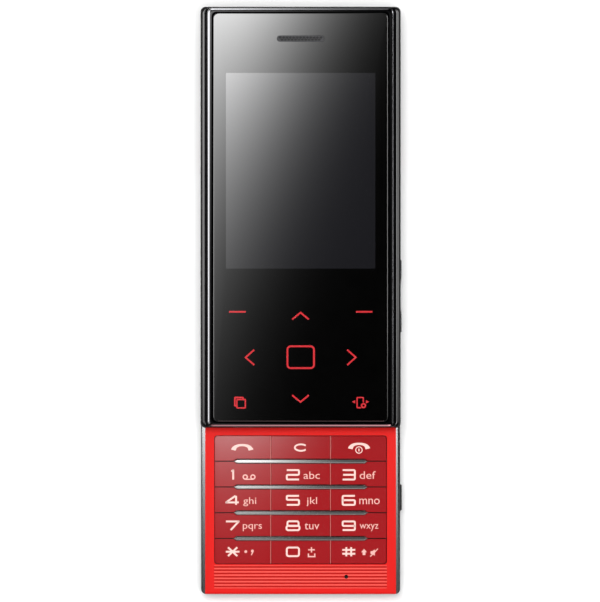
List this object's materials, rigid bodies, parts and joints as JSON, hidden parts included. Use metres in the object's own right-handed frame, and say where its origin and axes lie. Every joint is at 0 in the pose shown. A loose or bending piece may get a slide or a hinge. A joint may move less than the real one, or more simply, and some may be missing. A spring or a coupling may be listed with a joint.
{
  "type": "slider phone",
  "caption": "Slider phone with a glossy black display half that slides up off a red keypad half, with travelling keys, side keys, port cover and battery cover.",
  "frame": {"origin": "centre of the keypad half's back face, which the phone lies on", "axes": "+Z out of the screen, +Y towards the earpiece along the slide, +X to the right of someone reading the screen"},
  "size_m": [0.0512, 0.1491, 0.0122],
  "materials": {
    "red_shell": "satin red lacquered plastic",
    "red_keys": "clear-coated red key plates with pale printed legends",
    "rail_metal": "satin metallic side rail",
    "bar_metal": "bright plated trim bar",
    "housing_black": "fine-grained black plastic",
    "gloss_black": "piano black lacquer",
    "glass_black": "polished glass, backed black",
    "lens_glass": "dark lens window",
    "clear_lens": "frosted flash lens",
    "display_dark": "unlit liquid crystal panel",
    "plain_steel": "pressed stainless steel",
    "dark_steel": "darkened steel",
    "contact_gold": "gold-plated contacts",
    "circuit_board": "solder-masked laminate",
    "plastic_film": "polyester film",
    "flex_amber": "polyimide flexible circuit",
    "glide_white": "acetal liner",
    "battery_wrap": "plain battery wrap",
    "speaker_grey": "moulded speaker box"
  },
  "bodies": {
    "keypad_half": {"lower_front_cover": "red_shell", "side_rail_left": "rail_metal", "side_rail_right": "rail_metal", "lower_rear_housing": "housing_black", "battery": "battery_wrap", "battery_contacts": "contact_gold", "sim_holder": "plain_steel", "main_board": "circuit_board", "shield_can": "plain_steel", "dome_sheet": "plastic_film", "row_bar_1": "bar_metal", "row_bar_2": "bar_metal", "row_bar_3": "bar_metal", "row_bar_4": "bar_metal", "microphone": "dark_steel", "camera_module": "housing_black", "camera_window": "lens_glass", "flash_window": "clear_lens", "loudspeaker": "speaker_grey", "vibration_motor": "plain_steel", "usb_connector": "plain_steel", "housing_screw_1": "plain_steel", "housing_screw_2": "plain_steel", "guide_plate": "dark_steel", "glide_left": "glide_white", "glide_right": "glide_white", "slide_spring": "plain_steel", "flex_cable": "flex_amber"},
    "display_half": {"upper_rear_case": "gloss_black", "front_bezel": "gloss_black", "front_glass": "glass_black", "earpiece_grille": "dark_steel", "receiver": "housing_black", "display_panel": "display_dark", "display_board": "circuit_board", "touch_sensor": "plastic_film", "slide_plate": "plain_steel", "slide_screw_1": "dark_steel", "slide_screw_2": "dark_steel", "slide_screw_3": "dark_steel", "slide_screw_4": "dark_steel"},
    "call_key": {"key_call": "red_keys"},
    "clear_key": {"key_clear": "red_keys"},
    "end_key": {"key_end": "red_keys"},
    "one_key": {"key_1": "red_keys"},
    "two_key": {"key_2": "red_keys"},
    "three_key": {"key_3": "red_keys"},
    "four_key": {"key_4": "red_keys"},
    "five_key": {"key_5": "red_keys"},
    "six_key": {"key_6": "red_keys"},
    "seven_key": {"key_7": "red_keys"},
    "eight_key": {"key_8": "red_keys"},
    "nine_key": {"key_9": "red_keys"},
    "star_key": {"key_star": "red_keys"},
    "zero_key": {"key_0": "red_keys"},
    "hash_key": {"key_hash": "red_keys"},
    "side_camera_key": {"camera_key": "dark_steel"},
    "side_volume_key": {"volume_rocker": "dark_steel"},
    "port_flap": {"port_cover": "rail_metal"},
    "rear_cover": {"battery_cover": "housing_black"}
  },
  "joints": [
    {"name": "display_slide", "type": "slide", "parent": "keypad_half", "child": "display_half", "axis": [0, 1, 0], "range_m": [-0.0423, 0], "deforming": ["slide_spring", "flex_cable"]},
    {"name": "call_press", "type": "slide", "parent": "keypad_half", "child": "call_key", "axis": [0, 0, -1], "range_m": [0, 0.00025], "stiffness_N_per_m": 1000},
    {"name": "clear_press", "type": "slide", "parent": "keypad_half", "child": "clear_key", "axis": [0, 0, -1], "range_m": [0, 0.00025], "stiffness_N_per_m": 1000},
    {"name": "end_press", "type": "slide", "parent": "keypad_half", "child": "end_key", "axis": [0, 0, -1], "range_m": [0, 0.00025], "stiffness_N_per_m": 1000},
    {"name": "one_press", "type": "slide", "parent": "keypad_half", "child": "one_key", "axis": [0, 0, -1], "range_m": [0, 0.00025], "stiffness_N_per_m": 1000},
    {"name": "two_press", "type": "slide", "parent": "keypad_half", "child": "two_key", "axis": [0, 0, -1], "range_m": [0, 0.00025], "stiffness_N_per_m": 1000},
    {"name": "three_press", "type": "slide", "parent": "keypad_half", "child": "three_key", "axis": [0, 0, -1], "range_m": [0, 0.00025], "stiffness_N_per_m": 1000},
    {"name": "four_press", "type": "slide", "parent": "keypad_half", "child": "four_key", "axis": [0, 0, -1], "range_m": [0, 0.00025], "stiffness_N_per_m": 1000},
    {"name": "five_press", "type": "slide", "parent": "keypad_half", "child": "five_key", "axis": [0, 0, -1], "range_m": [0, 0.00025], "stiffness_N_per_m": 1000},
    {"name": "six_press", "type": "slide", "parent": "keypad_half", "child": "six_key", "axis": [0, 0, -1], "range_m": [0, 0.00025], "stiffness_N_per_m": 1000},
    {"name": "seven_press", "type": "slide", "parent": "keypad_half", "child": "seven_key", "axis": [0, 0, -1], "range_m": [0, 0.00025], "stiffness_N_per_m": 1000},
    {"name": "eight_press", "type": "slide", "parent": "keypad_half", "child": "eight_key", "axis": [0, 0, -1], "range_m": [0, 0.00025], "stiffness_N_per_m": 1000},
    {"name": "nine_press", "type": "slide", "parent": "keypad_half", "child": "nine_key", "axis": [0, 0, -1], "range_m": [0, 0.00025], "stiffness_N_per_m": 1000},
    {"name": "star_press", "type": "slide", "parent": "keypad_half", "child": "star_key", "axis": [0, 0, -1], "range_m": [0, 0.00025], "stiffness_N_per_m": 1000},
    {"name": "zero_press", "type": "slide", "parent": "keypad_half", "child": "zero_key", "axis": [0, 0, -1], "range_m": [0, 0.00025], "stiffness_N_per_m": 1000},
    {"name": "hash_press", "type": "slide", "parent": "keypad_half", "child": "hash_key", "axis": [0, 0, -1], "range_m": [0, 0.00025], "stiffness_N_per_m": 1000},
    {"name": "camera_press", "type": "slide", "parent": "keypad_half", "child": "side_camera_key", "axis": [-1, 0, 0], "range_m": [0, 0.0003], "stiffness_N_per_m": 1000},
    {"name": "volume_rock", "type": "hinge", "parent": "keypad_half", "child": "side_volume_key", "pos_m": [0.0246, 0.02233, 0.0042], "axis": [0, 0, 1], "range_deg": [-1.5, 1.5], "stiffness_Nm_per_rad": 0.5},
    {"name": "port_flap_hinge", "type": "hinge", "parent": "keypad_half", "child": "port_flap", "pos_m": [-0.02475, 0.03765, 0.0034], "axis": [0, 0, -1], "range_deg": [0, 90]},
    {"name": "rear_cover_slide", "type": "slide", "parent": "keypad_half", "child": "rear_cover", "axis": [0, -1, 0], "range_m": [0, 0.085]}
  ]
}
